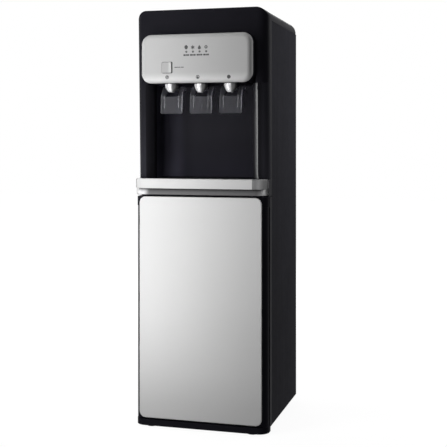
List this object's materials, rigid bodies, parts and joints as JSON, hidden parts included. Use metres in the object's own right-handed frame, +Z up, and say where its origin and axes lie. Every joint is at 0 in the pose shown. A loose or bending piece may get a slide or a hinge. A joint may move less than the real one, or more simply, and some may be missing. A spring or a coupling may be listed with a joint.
{
  "type": "water dispenser",
  "caption": "Free-standing tower water dispenser with a lower bottle bay behind a hinged door, a recessed cup alcove, push paddles under bright spouts, and cooling and heating units.",
  "frame": {"origin": "centre of the footprint on the floor", "axes": "+X the viewer's right, -Y the front with the taps and the door, +Z up"},
  "size_m": [0.325, 0.374, 0.992],
  "materials": {
    "black_plastic": "satin",
    "black_steel": "satin",
    "silver_paint": "satin metallic",
    "door_silver": "satin metallic",
    "bright_chrome": "polished",
    "clear_plastic": "polished",
    "grille_black": "matte",
    "rubber_black": "matte",
    "zinc_steel": "zinc plated",
    "condenser_black": "gloss enamel",
    "shell_black": "gloss enamel",
    "foam_white": "matte",
    "jacket_grey": "matte",
    "tank_steel": "brushed",
    "silicone": "satin",
    "copper": "satin",
    "board_green": "gloss",
    "lens_clear": "polished",
    "key_silver": "satin",
    "rocker_red": "gloss",
    "rocker_green": "gloss",
    "cap_white": "satin",
    "pump_grey": "satin"
  },
  "bodies": {
    "cabinet": {"front_fascia": "black_plastic", "top_cover": "black_plastic", "side_panel_left": "black_steel", "side_panel_right": "black_steel", "rear_panel": "black_steel", "case_screws": "zinc_steel", "base_pan": "black_plastic", "feet": "rubber_black", "bay_frame": "black_plastic", "magnet_catch": "pump_grey", "tray_trim": "silver_paint", "tray_housing": "black_plastic", "mid_deck": "zinc_steel", "tank_shelf": "zinc_steel", "control_panel": "silver_paint", "head_housing": "black_plastic", "indicator_lenses": "lens_clear", "display_board": "board_green", "paddle_pins": "zinc_steel", "door_hinges": "black_steel", "compressor": "shell_black", "compressor_mounts": "rubber_black", "hot_tank": "tank_steel", "hot_tank_jacket": "jacket_grey", "cold_tank": "tank_steel", "cold_tank_foam": "foam_white", "control_box": "cap_white", "water_pump": "pump_grey", "water_hoses": "silicone", "bottle_probe": "cap_white", "probe_clip": "black_plastic", "condenser": "condenser_black", "condenser_wires": "condenser_black", "refrigerant_lines": "copper", "switch_housing": "black_plastic", "cord_gland": "black_plastic", "tap_body_hot": "cap_white", "spout_hot": "bright_chrome", "tap_body_room": "cap_white", "spout_room": "bright_chrome", "tap_body_cold": "cap_white", "spout_cold": "bright_chrome"},
    "door": {"door_frame": "black_plastic", "door_top_cap": "black_plastic", "door_skin": "door_silver", "door_liner": "black_plastic", "door_strike": "zinc_steel", "door_gasket": "rubber_black"},
    "button": {"mode_button": "key_silver"},
    "tray": {"drip_tray": "black_plastic"},
    "grille": {"drip_grille": "grille_black"},
    "hot_rocker": {"hot_switch": "rocker_red"},
    "cold_rocker": {"cold_switch": "rocker_green"},
    "drain_plug": {"drain_cap": "cap_white"},
    "hot_paddle": {"paddle_hot": "clear_plastic"},
    "hot_stem": {"valve_stem_hot": "silicone"},
    "room_paddle": {"paddle_room": "clear_plastic"},
    "room_stem": {"valve_stem_room": "silicone"},
    "cold_paddle": {"paddle_cold": "clear_plastic"},
    "cold_stem": {"valve_stem_cold": "silicone"}
  },
  "joints": [
    {"name": "door_hinge", "type": "hinge", "parent": "cabinet", "child": "door", "pos_m": [0.153, -0.135, 0.285], "axis": [0, 0, 1], "range_deg": [0, 110]},
    {"name": "button_press", "type": "slide", "parent": "cabinet", "child": "button", "axis": [0, 1, 0], "range_m": [0, 0.002], "stiffness_N_per_m": 400, "springref_m": -0.002},
    {"name": "tray_lift", "type": "slide", "parent": "cabinet", "child": "tray", "axis": [0, 0, 1], "range_m": [0, 0.06]},
    {"name": "grille_lift", "type": "slide", "parent": "tray", "child": "grille", "axis": [0, 0, 1], "range_m": [0, 0.04]},
    {"name": "hot_rocker_tilt", "type": "hinge", "parent": "cabinet", "child": "hot_rocker", "pos_m": [0.098, 0.162, 0.61], "axis": [1, 0, 0], "range_deg": [0, 20]},
    {"name": "cold_rocker_tilt", "type": "hinge", "parent": "cabinet", "child": "cold_rocker", "pos_m": [0.122, 0.162, 0.61], "axis": [1, 0, 0], "range_deg": [0, 20]},
    {"name": "drain_plug_pull", "type": "slide", "parent": "cabinet", "child": "drain_plug", "axis": [0, 1, 0], "range_m": [0, 0.02]},
    {"name": "hot_paddle_hinge", "type": "hinge", "parent": "cabinet", "child": "hot_paddle", "pos_m": [-0.0727, -0.12, 0.807], "axis": [1, 0, 0], "range_deg": [0, 12], "stiffness_Nm_per_rad": 1, "springref_deg": -5.73},
    {"name": "hot_stem_lift", "type": "slide", "parent": "cabinet", "child": "hot_stem", "axis": [0, 0, 1], "range_m": [0, 0.0047]},
    {"name": "room_paddle_hinge", "type": "hinge", "parent": "cabinet", "child": "room_paddle", "pos_m": [0, -0.12, 0.807], "axis": [1, 0, 0], "range_deg": [0, 12], "stiffness_Nm_per_rad": 1, "springref_deg": -5.73},
    {"name": "room_stem_lift", "type": "slide", "parent": "cabinet", "child": "room_stem", "axis": [0, 0, 1], "range_m": [0, 0.0047]},
    {"name": "cold_paddle_hinge", "type": "hinge", "parent": "cabinet", "child": "cold_paddle", "pos_m": [0.0727, -0.12, 0.807], "axis": [1, 0, 0], "range_deg": [0, 12], "stiffness_Nm_per_rad": 1, "springref_deg": -5.73},
    {"name": "cold_stem_lift", "type": "slide", "parent": "cabinet", "child": "cold_stem", "axis": [0, 0, 1], "range_m": [0, 0.0047]}
  ],
  "couplings": [
    {"joint": "hot_stem_lift", "follows": "hot_paddle_hinge", "m_per_rad": 0.022},
    {"joint": "room_stem_lift", "follows": "room_paddle_hinge", "m_per_rad": 0.022},
    {"joint": "cold_stem_lift", "follows": "cold_paddle_hinge", "m_per_rad": 0.022}
  ]
}
